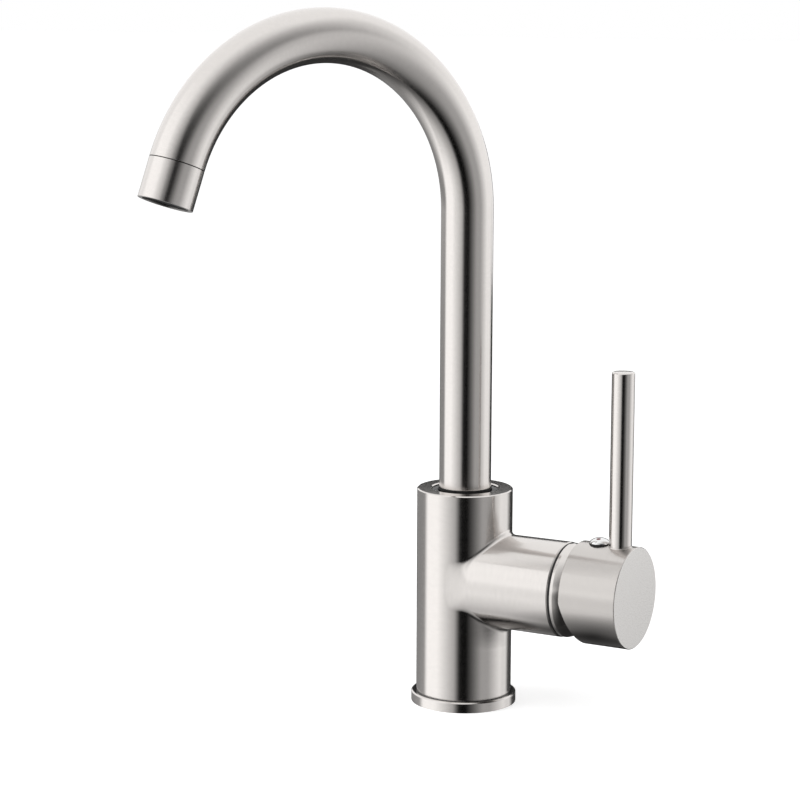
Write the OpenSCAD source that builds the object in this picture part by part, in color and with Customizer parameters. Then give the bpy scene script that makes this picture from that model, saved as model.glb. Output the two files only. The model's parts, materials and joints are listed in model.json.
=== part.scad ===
// Single-lever sink faucet with a swivelling gooseneck spout.
// The deck is the plane z = 0 and the body stands on it, centred on the z axis.
// The handle arm points along +x. The spout is modelled turned towards the front left.

/* [Body] */
// Diameter of the upright body
body_d = 46.2; // [44:0.1:48]
// Height of the body's top face above the deck
body_h = 105.6; // [104:0.1:112]
// Chamfer on the body's top edge and on the arm's end edge
edge_chamfer = 0.5; // [0.2:0.1:0.8]
// Diameter of the foot that passes through the base ring
foot_d = 41; // [38:0.5:42]
// Diameter of the handle arm
arm_d = 45.5; // [44.5:0.1:46]
// Distance from the body's axis to the arm's end face
arm_l = 55.5; // [54:0.1:62]
// Height of the arm's axis above the deck
arm_z = 61.8; // [58:0.1:63]

/* [Base ring] */
// Outer diameter of the base ring
ring_d = 51; // [50.5:0.1:58]
// Height of the base ring
ring_h = 5.1; // [4.5:0.1:8]
// Height of the ledge inside the ring that the body's shoulder stands on
ring_ledge_h = 3.3; // [2.6:0.1:3.8]
// Chamfer on the ring's top edge
ring_chamfer = 0.6; // [0.2:0.1:1]
// Width of the rubber deck seal
deck_seal_w = 2; // [1.5:0.1:2.4]
// Thickness of the rubber deck seal
deck_seal_t = 1.6; // [1:0.1:2]

/* [Inlets and deck stud] */
// Bore of a hose port, the minor diameter of an M10x1 thread
port_d = 8.92; // [8:0.02:10]
// Depth of a hose port
port_depth = 12; // [8:0.5:16]
// Distance between the two hose ports
port_spacing = 15.5; // [14:0.5:18]
// Distance of the hose ports from the body's axis, towards the arm
port_x = 6; // [5:0.5:8]
// Bore of the stud hole, the minor diameter of an M8 thread
stud_d = 6.64; // [5:0.02:7]
// Depth of the stud hole
stud_depth = 16; // [10:0.5:20]
// Distance of the stud hole from the body's axis, away from the arm
stud_x = 11; // [10:0.5:13]
// Diameter of the drilled hot and cold waterways
feed_d = 6; // [5:0.1:6.5]
// Diameter of the mixed-water riser
riser_d = 8; // [6:0.1:9]

/* [Spout] */
// Outer diameter of the spout tube
tube_d = 25; // [24:0.1:25.4]
// Wall of the spout tube
tube_wall = 1.2; // [0.8:0.1:1.5]
// Height of the centre of the spout's bend
arc_z = 239.7; // [200:0.1:280]
// Radius of the bend, on the tube's centre line
arc_r = 82.6; // [60:0.1:110]
// Angle of the bend
arc_bend = 160.3; // [140:0.1:175]
// Turn of the spout from straight ahead, away from the handle
spout_turn = 24.1; // [-180:0.1:180]

/* [Spout joint] */
// Diameter of the retaining collar in the body's top
collar_d = 32.2; // [31:0.1:34]
// Height of the retaining collar
collar_h = 6; // [4:0.1:7]
// Depth of the collar's face below the body's top
collar_recess = 0.9; // [0.5:0.1:2]
// Gap between the tube and the collar
collar_gap = 0.55; // [0.3:0.05:0.7]
// Thickness of each slip washer
slip_washer_t = 1.6; // [1:0.1:2]
// Thickness of the flange on the spout's foot
foot_flange_t = 3; // [2:0.1:4]
// Diameter of the barrel of the spout's foot
barrel_d = 26.4; // [26:0.1:27]
// Length of the barrel of the spout's foot
barrel_l = 17; // [16.5:0.1:18]
// Length of the foot's spigot inside the tube
foot_spigot_l = 10; // [6:0.5:14]
// Wall between the foot's waterway and its grooves
foot_core_wall = 2.2; // [1.6:0.1:2.6]
// Cross-section diameter of the spout's O-rings
o_ring_t = 1.6; // [1.2:0.1:2]
// Height of the guide ring on the barrel
guide_ring_h = 3; // [2:0.1:3.5]

/* [Outlet] */
// Length of the outlet sleeve
sleeve_l = 18.4; // [17:0.1:22]
// Wall of the outlet sleeve
sleeve_wall = 1.3; // [1:0.1:1.6]
// Height of the lip that holds the aerator
lip_h = 1.2; // [0.8:0.1:2]
// Depth of the lip inward from the sleeve's bore
lip_w = 0.8; // [0.5:0.1:1.2]
// Length of the nipple's brazed root inside the tube
nipple_in_l = 5; // [3:0.5:6]
// Length of the threaded nipple inside the sleeve
nipple_out_l = 6.5; // [5:0.1:7.5]
// Wall of the threaded nipple
nipple_wall = 2; // [1.2:0.1:2.5]
// Thickness of the aerator washer
washer_t = 1.6; // [1:0.1:2]
// Wall of the aerator's cage
cage_wall = 1.5; // [1:0.1:2]
// Depth of the aerator's bottom grille
grille_t = 2.4; // [1.6:0.1:2.6]
// Recess of the grille above the cage's lower end
grille_recess = 0.6; // [0.2:0.1:1]
// Width of the grille's ribs
grille_rib = 0.7; // [0.5:0.05:1]
// Number of radial ribs in the grille
grille_spokes = 12; // [6:1:16]
// Number of rings in the grille
grille_rings = 3; // [2:1:3]
// Thickness of the aerator's jet disc
jet_disc_t = 2; // [1.4:0.1:2.4]
// Diameter of the jets through that disc
jet_d = 1.2; // [0.8:0.1:1.4]
// Number of jets
jets = 12; // [8:1:16]
// Number of wire screens in the aerator
screens = 3; // [1:1:4]
// Thickness of one wire screen
screen_t = 0.5; // [0.4:0.1:0.6]

/* [Cartridge] */
// Diameter of the cartridge's housing
cart_d = 34.6; // [34:0.1:35.4]
// Depth of the cartridge's pocket below the arm's end face
pocket_depth = 31.9; // [31:0.1:33]
// Gap under the cartridge, which the port seals fill
seal_proud = 0.6; // [0.3:0.1:0.8]
// Thickness of the cartridge's base plate
cart_base_t = 5; // [4.5:0.1:5.5]
// Diameter of the fixed ceramic disc
fixed_disc_d = 27; // [26:0.1:27.4]
// Thickness of the fixed ceramic disc
fixed_disc_t = 4.4; // [4:0.1:4.8]
// Diameter of the moving ceramic disc
moving_disc_d = 21.2; // [20.6:0.1:21.6]
// Thickness of the moving ceramic disc
moving_disc_t = 4; // [3.6:0.1:4.4]
// Thickness of the disc carrier's plate
carrier_t = 5; // [4.6:0.1:5.2]
// Height of the carrier's boss above its plate
carrier_boss_h = 3.4; // [3:0.1:3.4]
// Diameter of the water windows in the discs and the base plate
window_d = 5.2; // [4.4:0.1:5.4]
// Sideways distance of the hot and cold windows from the cartridge's axis
window_y = 5.8; // [5.4:0.1:6.2]
// Rise of the hot and cold windows above the cartridge's axis
window_rise = 4.2; // [4:0.1:4.6]
// Drop of the mixed-water window below the cartridge's axis
window_drop = 6.5; // [6:0.1:6.8]
// Distance from the cartridge's shoulder out to the handle's pivot
pivot_out = 2.8; // [2.4:0.1:3.2]
// Lift of the handle from closed to fully open, in degrees
lift_angle = 22; // [10:1:22]
// Width of the stem's square
stem_w = 7.8; // [7:0.1:8]
// Diameter of the ball on the stem's inner end
ball_d = 5; // [4:0.1:5]
// Distance from the pivot in to the ball
ball_in = 9.5; // [9.3:0.1:9.6]
// Diameter of the stem's pin
pin_d = 3; // [2.5:0.1:3.2]
// Height of the cartridge's neck above its shoulder
neck_h = 6.8; // [6:0.1:7]

/* [Cartridge nut and bonnet] */
// Diameter of the nut's thread, as for M40
nut_d = 39.6; // [38:0.1:40]
// Diameter of the nut's collar, which carries the bonnet
nut_collar_d = 36.4; // [34:0.1:36.6]
// Height of the nut above the cartridge's shoulder
nut_h = 10.8; // [10:0.1:11.2]
// Thickness of the black seal between the arm and the bonnet
bonnet_seal_t = 1.2; // [1:0.1:1.6]
// Depth of that seal below the arm's surface
bonnet_seal_recess = 0.45; // [0.2:0.05:0.8]
// Gap that the rim of the swinging cap keeps from the bonnet's dome
dome_gap = 0.78; // [0.5:0.01:1]
// Step from the arm's surface down to the bonnet's straight band
bonnet_step = 0.25; // [0.1:0.05:0.6]
// Wall of the bonnet's dome
dome_wall = 1.6; // [1.2:0.1:2]

/* [Handle] */
// Diameter of the handle cap
cap_d = 48.3; // [48:0.1:52]
// Gap between the arm's end face and the cap's rim
cap_gap = 6.5; // [6.2:0.1:8]
// Length of the handle cap
cap_l = 28.6; // [28:0.1:34]
// Wall of the cap's skirt
cap_wall = 2.25; // [1.8:0.05:2.3]
// Depth of the cap's hollow
cap_hollow = 14.4; // [14.2:0.1:16]
// Slope of the relief on the lower half of the cap's rim, in degrees
cap_relief = 16; // [10:1:20]
// Chamfer on the cap's edges
cap_chamfer = 0.3; // [0.1:0.1:0.6]
// Diameter of the hub inside the cap
hub_d = 16; // [14:0.5:16]
// Distance of the hub's face inside the cap's rim
hub_inset = 4; // [3.6:0.1:6]
// Diameter of the lever bar
lever_d = 10.8; // [8:0.1:12]
// Height of the lever's tip above the arm's axis
lever_l = 106.6; // [60:0.1:140]
// Distance from the cap's end face to the lever's axis
lever_inset = 8.1; // [8:0.1:10]
// Depth of the lever's socket in the cap
lever_socket = 4.2; // [3:0.1:6]
// Chamfer on the lever's tip
lever_chamfer = 0.5; // [0.2:0.1:1]
// Diameter of the lever's threaded spigot, M6
spigot_d = 5.8; // [4:0.1:6]
// Length of the lever's threaded spigot
spigot_l = 7.5; // [5:0.5:10]
// Diameter of the set screw, M5
set_screw_d = 5; // [4:0.5:6]
// Diameter of the set screw's hexagon socket, across corners
hex_key_d = 2.9; // [2:0.1:3]
// Gap between the lever and the index plug
plug_gap = 0.1; // [0.05:0.05:0.5]
// Diameter of the index plug
plug_d = 10; // [8:0.1:10.4]
// Height of the index plug's dome above the cap
plug_h = 3.3; // [2:0.1:3.6]
// Diameter of the plug's shank
plug_shank_d = 6.8; // [6:0.1:7]

/* [Fits] */
// Radial clearance of a seated or threaded piece
seat_gap = 0.05; // [0.02:0.01:0.1]
// Radial clearance of a turning or sliding fit
run_gap = 0.08; // [0.03:0.01:0.1]

/* [Hidden] */
$fn = 96;
// How far a cut runs past the face that it opens
over = 1;
// How deep one shape of a piece is let into the next
bite = 1;
eps = 0.01;

// Radius of the deck seal's middle, halfway across the ring's underside
deck_seal_r = (ring_d + foot_d) / 4;

// The spout's joint, from the top down
collar_top = body_h - collar_recess;
collar_bottom = collar_top - collar_h;
flange_top = collar_bottom - slip_washer_t;
flange_bottom = flange_top - foot_flange_t;
seat_z = flange_bottom - slip_washer_t;
barrel_bottom = flange_bottom - barrel_l;
chamber_drop = 2;
chamber_z = barrel_bottom - chamber_drop;
chamber_d = barrel_d + 2 * run_gap;
tube_bore_d = tube_d - 2 * tube_wall;
foot_spigot_d = tube_bore_d - 2 * seat_gap;
groove_d = barrel_d - 2 * o_ring_t;
foot_bore_d = groove_d - 2 * foot_core_wall;
groove_play = 0.4;
groove_h = o_ring_t + groove_play;
o_ring_drops = [4, 8.5];
guide_ring_rise = 1.2;
guide_ring_t = 1.5;
guide_ring_split = 1.5;
guide_ring_z = barrel_bottom + guide_ring_rise;
guide_groove_d = barrel_d - 2 * guide_ring_t;
spout_heading = 270 - spout_turn;

// The outlet, measured along the flow from the joint between the tube and the sleeve
sleeve_bore_d = tube_d - 2 * sleeve_wall;
nipple_d = sleeve_bore_d - 2 * seat_gap;
nipple_bore_d = nipple_d - 2 * nipple_wall;
tube_sag = pow(nipple_in_l, 2) / (2 * arc_r - tube_bore_d);
nipple_root_d = tube_bore_d - 2 * (tube_sag + seat_gap);
cage_top = nipple_out_l + washer_t;
cage_bottom = sleeve_l - lip_h;
cage_d = sleeve_bore_d - 2 * seat_gap;
cage_bore_d = cage_d - 2 * cage_wall;
screen_d = cage_bore_d - 2 * seat_gap;
screen_pitch = screen_t + seat_gap;
ledge_w = 0.8;
screen_rim_w = 0.9;
screen_wire_w = 0.5;
screen_wires = 4;
jet_circle_r = screen_d / 3;
ledge_top = cage_top + jet_disc_t + screens * screen_pitch;
grille_top = cage_bottom - grille_recess - grille_t;

// The cartridge, measured along the arm from the body's axis
seat_x = arm_l - pocket_depth;
base_x = seat_x + seal_proud;
fixed_x = base_x + cart_base_t;
moving_x = fixed_x + fixed_disc_t;
carrier_x = moving_x + moving_disc_t;
boss_x = carrier_x + carrier_t;
boss_top_x = boss_x + carrier_boss_h;
rotor_float = 0.3;
flange_x = boss_x + rotor_float;
flange_t = 4.2;
roof_x = flange_x + flange_t + run_gap;
roof_t = 2;
shoulder_x = roof_x + roof_t;
neck_x = shoulder_x + neck_h;
rotor_rise = 0.5;
rotor_top_x = neck_x + rotor_rise;
pivot_x = shoulder_x + pivot_out;
ball_x = pivot_x - ball_in;
shank_in = 4.5;
shank_x = pivot_x - shank_in;
bore_r = 14.9;
rotor_neck_r = 10.9;
neck_r = 12.8;
stem_slot = stem_w + 2 * run_gap;
stem_play = 0.4;
stem_swing = stem_w / 2 / cos(lift_angle) + (rotor_top_x - pivot_x) * tan(lift_angle) + stem_play;
slide = ball_in * sin(lift_angle);
ball_play = 0.12;
socket_w = ball_d + 2 * ball_play;
socket_floor = 2;
ball_shoulder = 0.5;
ball_neck_d = ball_d - 2 * ball_shoulder;
neck_play = 0.3;
boss_w = 8;
boss_len = 8.4;
boss_play = 0.4;
mouth_relief = 0.4;
mouth_x = shoulder_x - mouth_relief;
seal_depth = 1.4;
seal_w = 1.2;
key_h = 1.2;
key_w = 3;
key_in = 2.4;
peg_d = 3;
peg_l = 2.8;
peg_y = 12;
peg_drop = 3;
peg_tip_gap = 0.2;
disc_rim_w = 1.1;
disc_rim_h = 2;
disc_edge_w = 1.2;
chamber_share = 0.6;
window_land = 0.7;
flange_gap = 0.3;
pin_press = 0.02;
pin_inset = 0.7;

// The nut and the bonnet
nut_top_x = shoulder_x + nut_h;
nut_bore_gap = 0.4;
nut_bore_d = 2 * (neck_r + nut_bore_gap);
nut_thread_inset = 0.5;
nut_thread_end = arm_l - nut_thread_inset;
nut_notch_w = 4;
nut_notch_h = 2.5;
hub_margin_angle = 3;
bonnet_x = arm_l + bonnet_seal_t;
bonnet_r = arm_d / 2 - bonnet_step;

// The handle
rim_x = arm_l + cap_gap;
cap_end_x = rim_x + cap_l;
hollow_x = rim_x + cap_hollow;
hub_x = rim_x + hub_inset;
lever_x = cap_end_x - lever_inset;
plug_x = lever_x - (lever_d + plug_d) / 2 - plug_gap;
stem_reach = 4;
stem_end_x = lever_x - stem_reach;
stem_end_gap = 0.3;
spigot_end_gap = 0.5;
lever_seat_r = cap_d / 2 - lever_socket;
plug_sphere_r = (pow(plug_d / 2, 2) + pow(plug_h, 2)) / (2 * plug_h);
plug_tip_l = 0.6;
plug_shank_l = cap_wall + plug_tip_l;
set_screw_l = (hub_d - stem_w) / 2;

// The dome is part of a ball about the handle's pivot, just inside the swing of the cap's rim
dome_r = norm([cap_d / 2 - cap_wall, rim_x - pivot_x]) - dome_gap;
dome_open_angle = asin(hub_d / 2 / dome_r) + lift_angle + hub_margin_angle;

nickel = [0.78, 0.77, 0.75];
polished = [0.85, 0.85, 0.86];
brass = [0.78, 0.62, 0.32];
rubber = [0.08, 0.08, 0.08];
white_plastic = [0.92, 0.92, 0.9];
grey_plastic = [0.45, 0.46, 0.48];
ceramic = [0.88, 0.86, 0.8];
steel = [0.6, 0.6, 0.62];

// Places its children on the arm's axis, with their z along the arm and their -x up
module along_arm(x = 0) {
    translate([x, 0, arm_z]) rotate([0, 90, 0]) children();
}

// A ring or tube along the local z axis
module ring(outer_r, inner_r, height) {
    difference() {
        cylinder(r = outer_r, h = height);
        translate([0, 0, -over]) cylinder(r = inner_r, h = height + 2 * over);
    }
}

// A round bar with a chamfer on its far edge
module chamfered_bar(r, height, chamfer) {
    rotate_extrude() polygon([
        [0, 0], [r, 0], [r, height - chamfer], [r - chamfer, height], [0, height]
    ]);
}

// Turns its children to the way the spout points
module along_spout() {
    rotate([0, 0, spout_heading]) children();
}

// Places its children at the joint between tube and sleeve, with their z along the flow
module at_outlet(along = 0) {
    along_spout()
        translate([arc_r, 0, arc_z])
            rotate([0, arc_bend, 0])
                translate([-arc_r, 0, along])
                    children();
}

// Repeats its children at the hot and the cold window, in the arm's local frame
module at_feed_windows() {
    for (side = [-1, 1])
        translate([-window_rise, side * window_y, 0]) children();
}

// The three water windows, as bores along the arm's local z
module windows(height) {
    at_feed_windows() cylinder(d = window_d, h = height);
    translate([window_drop, 0, 0]) cylinder(d = window_d, h = height);
}

// The drilled ways from the hose ports to the cartridge, and from there up to the spout
module waterways() {
    for (side = [-1, 1]) {
        translate([port_x, side * port_spacing / 2, -over])
            cylinder(d = port_d, h = port_depth + over);
        translate([port_x, side * port_spacing / 2, 0])
            cylinder(d = feed_d, h = arm_z + window_rise);
        translate([port_x, side * window_y, arm_z + window_rise])
            rotate([0, 90, 0]) cylinder(d = window_d, h = seat_x - port_x + over);
    }
    translate([-riser_d / 2, 0, arm_z - window_drop])
        rotate([0, 90, 0]) cylinder(d = window_d, h = seat_x + riser_d / 2 + over);
    translate([-riser_d / 2, 0, arm_z - window_drop])
        cylinder(d = riser_d, h = chamber_z - arm_z + window_drop + over);
}

// The two locating pegs of the cartridge, or the holes that take them
module pegs(d, height) {
    for (side = [-1, 1])
        translate([peg_drop, side * peg_y, 0]) cylinder(d = d, h = height);
}

module body() {
    color(nickel) difference() {
        union() {
            cylinder(d = foot_d, h = ring_ledge_h + bite);
            translate([0, 0, ring_ledge_h])
                chamfered_bar(body_d / 2, body_h - ring_ledge_h, edge_chamfer);
            along_arm() chamfered_bar(arm_d / 2, arm_l, edge_chamfer);
        }
        // The spout's socket: collar thread, washer seat and barrel chamber
        translate([0, 0, seat_z]) cylinder(d = collar_d, h = body_h);
        translate([0, 0, chamber_z]) cylinder(d = chamber_d, h = body_h);
        translate([0, 0, body_h - edge_chamfer])
            cylinder(r1 = collar_d / 2, r2 = collar_d / 2 + 2 * edge_chamfer, h = 2 * edge_chamfer);
        // The cartridge's pocket and the threaded mouth for its nut
        along_arm(seat_x) cylinder(d = cart_d + 2 * seat_gap, h = pocket_depth + over);
        along_arm(mouth_x) cylinder(d = nut_d + 2 * seat_gap, h = arm_l);
        along_arm(seat_x - peg_l - peg_tip_gap) pegs(peg_d + 2 * seat_gap, peg_l + over);
        waterways();
        translate([-stud_x, 0, -over]) cylinder(d = stud_d, h = stud_depth + over);
    }
}

module base_ring() {
    color(nickel) difference() {
        chamfered_bar(ring_d / 2, ring_h, ring_chamfer);
        translate([0, 0, -over]) cylinder(d = foot_d + 2 * seat_gap, h = ring_h + 2 * over);
        translate([0, 0, ring_ledge_h]) cylinder(d = body_d + 2 * seat_gap, h = ring_h);
        translate([0, 0, -over]) ring(deck_seal_r + deck_seal_w / 2,
            deck_seal_r - deck_seal_w / 2, deck_seal_t + over);
    }
}

module deck_seal() {
    color(rubber) ring(deck_seal_r + deck_seal_w / 2 - seat_gap,
        deck_seal_r - deck_seal_w / 2 + seat_gap, deck_seal_t);
}

module spout_collar() {
    color(nickel) translate([0, 0, collar_bottom])
        ring(collar_d / 2 - seat_gap, tube_d / 2 + collar_gap, collar_h);
}

// A flat plastic washer between the spout's flange and what it turns against
module slip_washer(z, bore_r) {
    color(white_plastic) translate([0, 0, z])
        ring(collar_d / 2 - seat_gap, bore_r, slip_washer_t);
}

module upper_slip_washer() {
    slip_washer(flange_top, tube_d / 2 + collar_gap);
}

module lower_slip_washer() {
    slip_washer(seat_z, barrel_d / 2 + run_gap);
}

module spout_foot() {
    color(brass) difference() {
        union() {
            translate([0, 0, barrel_bottom]) cylinder(d = barrel_d, h = barrel_l + bite);
            translate([0, 0, flange_bottom])
                cylinder(r = collar_d / 2 - 2 * run_gap, h = foot_flange_t);
            translate([0, 0, flange_top - bite])
                cylinder(d = foot_spigot_d, h = foot_spigot_l + bite);
        }
        translate([0, 0, barrel_bottom - over])
            cylinder(d = foot_bore_d, h = flange_top + foot_spigot_l - barrel_bottom + 2 * over);
        for (drop = o_ring_drops) translate([0, 0, flange_bottom - drop - groove_h / 2])
            ring(barrel_d, groove_d / 2, groove_h);
        translate([0, 0, guide_ring_z]) ring(barrel_d, guide_groove_d / 2, guide_ring_h);
    }
}

module spout_o_rings() {
    color(rubber) for (drop = o_ring_drops)
        translate([0, 0, flange_bottom - drop]) rotate_extrude()
            translate([(groove_d + o_ring_t) / 2 + seat_gap / 2, 0]) circle(d = o_ring_t, $fn = 48);
}

module spout_guide_ring() {
    color(white_plastic) translate([0, 0, guide_ring_z + seat_gap]) difference() {
        ring(barrel_d / 2 + run_gap / 4, guide_groove_d / 2 + seat_gap, guide_ring_h - 2 * seat_gap);
        translate([0, -guide_ring_split / 2, -over])
            cube([barrel_d, guide_ring_split, guide_ring_h + 2 * over]);
    }
}

// A bar that follows the spout, up the riser and round the bend, longer at each end if asked
module spout_path(d, longer = 0, turned = 0) {
    translate([0, 0, flange_top - longer]) cylinder(d = d, h = arc_z - flange_top + longer);
    translate([arc_r, 0, arc_z]) rotate([90, 0, 180])
        rotate_extrude(angle = arc_bend + turned) translate([arc_r, 0]) circle(d = d);
}

module spout_tube() {
    color(nickel) along_spout() difference() {
        spout_path(tube_d);
        spout_path(tube_bore_d, over, over);
    }
}

// The nipple's root is brazed in the tube and its thread carries the sleeve
module outlet_nipple() {
    color(brass) difference() {
        union() {
            at_outlet(-nipple_in_l) cylinder(d = nipple_root_d, h = nipple_in_l + bite);
            at_outlet() cylinder(d = nipple_d, h = nipple_out_l);
        }
        at_outlet(-nipple_in_l - over)
            cylinder(d = nipple_bore_d, h = nipple_in_l + nipple_out_l + 2 * over);
    }
}

module outlet_sleeve() {
    color(nickel) at_outlet() difference() {
        cylinder(d = tube_d, h = sleeve_l);
        translate([0, 0, -over]) cylinder(d = sleeve_bore_d, h = cage_bottom + over);
        cylinder(d = sleeve_bore_d - 2 * lip_w, h = sleeve_l + over);
    }
}

module aerator_washer() {
    color(rubber) at_outlet(nipple_out_l) ring(cage_d / 2, nipple_bore_d / 2, washer_t);
}

// The jet disc lies on the screens and breaks the water into fine streams
module jet_disc() {
    color(white_plastic) at_outlet(cage_top) difference() {
        cylinder(d = screen_d, h = jet_disc_t);
        for (i = [0 : jets - 1]) rotate([0, 0, i * 360 / jets])
            translate([jet_circle_r, 0, -over]) cylinder(d = jet_d, h = jet_disc_t + 2 * over);
    }
}

// A stack of wire screens, each a rim with crossed wires
module aerator_screens() {
    pitch = screen_d / (screen_wires + 1);
    color(steel) for (i = [0 : screens - 1])
        at_outlet(cage_top + jet_disc_t + seat_gap + i * screen_pitch) {
            ring(screen_d / 2, screen_d / 2 - screen_rim_w, screen_t);
            intersection() {
                cylinder(d = screen_d, h = screen_t);
                for (turn = [0, 90]) rotate([0, 0, turn + i * 45])
                    for (j = [1 : screen_wires])
                        translate([-screen_d / 2, j * pitch - (screen_d + screen_wire_w) / 2, 0])
                            cube([screen_d, screen_wire_w, screen_t]);
            }
        }
}

// The cage is a cup with a ledge for the screens and a floor of rings and spokes
module aerator_cage() {
    wall_r = cage_bore_d / 2;
    ring_pitch = wall_r / (grille_rings + 1);
    color(grey_plastic) {
        at_outlet(cage_top) ring(cage_d / 2, wall_r, cage_bottom - cage_top);
        at_outlet(ledge_top) ring(cage_d / 2, wall_r - ledge_w, grille_top + bite - ledge_top);
        at_outlet(grille_top) {
            for (i = [1 : grille_rings])
                ring(i * ring_pitch + grille_rib / 2, i * ring_pitch - grille_rib / 2, grille_t);
            intersection() {
                cylinder(r = wall_r + eps, h = grille_t);
                for (i = [0 : grille_spokes - 1]) rotate([0, 0, i * 360 / grille_spokes])
                    translate([ring_pitch, -grille_rib / 2, 0])
                        cube([wall_r, grille_rib, grille_t]);
            }
        }
    }
}

module cartridge_base() {
    color(grey_plastic) along_arm(base_x) difference() {
        union() {
            cylinder(d = cart_d, h = cart_base_t);
            cylinder(r = fixed_disc_d / 2 + seat_gap + disc_rim_w, h = cart_base_t + disc_rim_h);
            translate([0, 0, -peg_l - seal_proud]) pegs(peg_d, peg_l + seal_proud + bite);
        }
        translate([0, 0, cart_base_t])
            cylinder(d = fixed_disc_d + 2 * seat_gap, h = disc_rim_h + over);
        translate([0, 0, -over]) windows(cart_base_t + 2 * over);
        translate([0, 0, -over]) seal_seats(over + seal_depth);
    }
}

// The three counterbores for the port seals
module seal_seats(height) {
    at_feed_windows() cylinder(d = window_d + 2 * seal_w, h = height);
    translate([window_drop, 0, 0]) cylinder(d = window_d + 2 * seal_w, h = height);
}

module port_seals() {
    color(rubber) along_arm(seat_x) {
        at_feed_windows() port_seal();
        translate([window_drop, 0, 0]) port_seal();
    }
}

module port_seal() {
    ring(window_d / 2 + seal_w - seat_gap, window_d / 2, seal_proud + seal_depth);
}

module fixed_disc() {
    color(ceramic) along_arm(fixed_x) difference() {
        cylinder(d = fixed_disc_d, h = fixed_disc_t);
        translate([0, 0, -over]) windows(fixed_disc_t + 2 * over);
    }
}

// The moving disc has a blind D-shaped chamber that joins the windows as it slides up
module moving_disc() {
    chamber_r = moving_disc_d / 2 - disc_edge_w;
    chamber_edge = window_rise - window_d / 2 - window_land;
    chamber_h = chamber_share * moving_disc_t;
    color(ceramic) along_arm(moving_x) difference() {
        cylinder(d = moving_disc_d, h = moving_disc_t);
        translate([0, 0, -over]) linear_extrude(height = over + chamber_h) intersection() {
            circle(r = chamber_r);
            translate([-chamber_edge, -chamber_r]) square(2 * chamber_r);
        }
        translate([0, 0, moving_disc_t - key_h]) carrier_keys(seat_gap, key_h + over);
    }
}

// The two keys that make the disc turn with its carrier, or with a gap their notches
module carrier_keys(gap, height) {
    for (side = [0, 180]) rotate([0, 0, side])
        translate([-key_w / 2 - gap, moving_disc_d / 2 - key_in - gap, 0])
            cube([key_w + 2 * gap, 2 * key_in, height]);
}

module disc_carrier() {
    color(white_plastic) along_arm(carrier_x) difference() {
        union() {
            cylinder(d = moving_disc_d, h = carrier_t);
            translate([-boss_len / 2, -boss_w / 2, 0])
                cube([boss_len, boss_w, carrier_t + carrier_boss_h]);
            translate([0, 0, -key_h + seat_gap]) intersection() {
                carrier_keys(0, key_h + bite);
                cylinder(d = moving_disc_d, h = key_h + bite);
            }
        }
        translate([-socket_w / 2, -socket_w / 2, socket_floor])
            cube([socket_w, socket_w, carrier_t + carrier_boss_h]);
        // Outside the ball the socket opens on its low side, where the stem's neck leans
        translate([0, -ball_neck_d / 2 - neck_play, ball_x + ball_d / 4 - carrier_x])
            cube([boss_len, ball_neck_d + 2 * neck_play, carrier_t + carrier_boss_h]);
    }
}

module cartridge_housing() {
    color(grey_plastic) along_arm() {
        difference() {
            union() {
                translate([0, 0, fixed_x]) cylinder(d = cart_d, h = shoulder_x - fixed_x);
                translate([0, 0, fixed_x]) cylinder(r = neck_r, h = neck_x - fixed_x);
            }
            translate([0, 0, fixed_x - over]) cylinder(r = bore_r, h = roof_x - fixed_x + over);
            translate([0, 0, roof_x - over]) cylinder(r = rotor_neck_r + run_gap, h = neck_x);
        }
    }
}

// The rotor turns in the housing, guides the carrier's boss and holds the stem's pin
module cartridge_rotor() {
    boss_slot = boss_w + 2 * run_gap;
    boss_low = boss_len / 2 + boss_play;
    boss_high = boss_low + slide;
    stem_low = stem_w / 2 + stem_play;
    boss_slot_end = boss_top_x + boss_play;
    color(white_plastic) along_arm() difference() {
        union() {
            translate([0, 0, flange_x]) cylinder(r = bore_r - flange_gap, h = flange_t);
            translate([0, 0, flange_x]) cylinder(r = rotor_neck_r, h = rotor_top_x - flange_x);
        }
        translate([-boss_high, -boss_slot / 2, flange_x - over])
            cube([boss_high + boss_low, boss_slot, boss_slot_end - flange_x + over]);
        // The stem leans one way inside its pivot and the other way outside it
        translate([-stem_swing, -stem_slot / 2, flange_x])
            cube([stem_swing + stem_low, stem_slot, pivot_x - flange_x]);
        translate([-stem_low, -stem_slot / 2, pivot_x - eps])
            cube([stem_swing + stem_low, stem_slot, rotor_top_x]);
        translate([0, 0, pivot_x]) rotate([90, 0, 0])
            cylinder(d = pin_d + 2 * pin_press, h = 2 * bore_r, center = true);
    }
}

module stem_pin() {
    color(steel) along_arm(pivot_x) rotate([90, 0, 0])
        cylinder(d = pin_d, h = 2 * (rotor_neck_r - pin_inset), center = true);
}

module cartridge_stem() {
    color(brass) along_arm() difference() {
        union() {
            translate([0, 0, ball_x]) sphere(d = ball_d);
            translate([0, 0, ball_x]) cylinder(d = ball_neck_d, h = shank_x - ball_x + bite);
            translate([-stem_w / 2, -stem_w / 2, shank_x])
                cube([stem_w, stem_w, stem_end_x - shank_x]);
        }
        translate([0, 0, pivot_x]) rotate([90, 0, 0])
            cylinder(d = pin_d + 2 * run_gap, h = 2 * stem_w, center = true);
    }
}

// The nut clamps the cartridge's shoulder, and its collar carries the bonnet
module cartridge_nut() {
    color(brass) along_arm(shoulder_x) difference() {
        union() {
            cylinder(d = nut_d, h = nut_thread_end - shoulder_x);
            cylinder(d = nut_collar_d, h = nut_h);
        }
        translate([0, 0, -over]) cylinder(d = nut_bore_d, h = nut_h + 2 * over);
        for (turn = [0 : 90 : 270]) rotate([0, 0, turn + 45])
            translate([nut_bore_d / 2 - over, -nut_notch_w / 2, nut_h - nut_notch_h])
                cube([nut_d, nut_notch_w, nut_notch_h + over]);
    }
}

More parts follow.
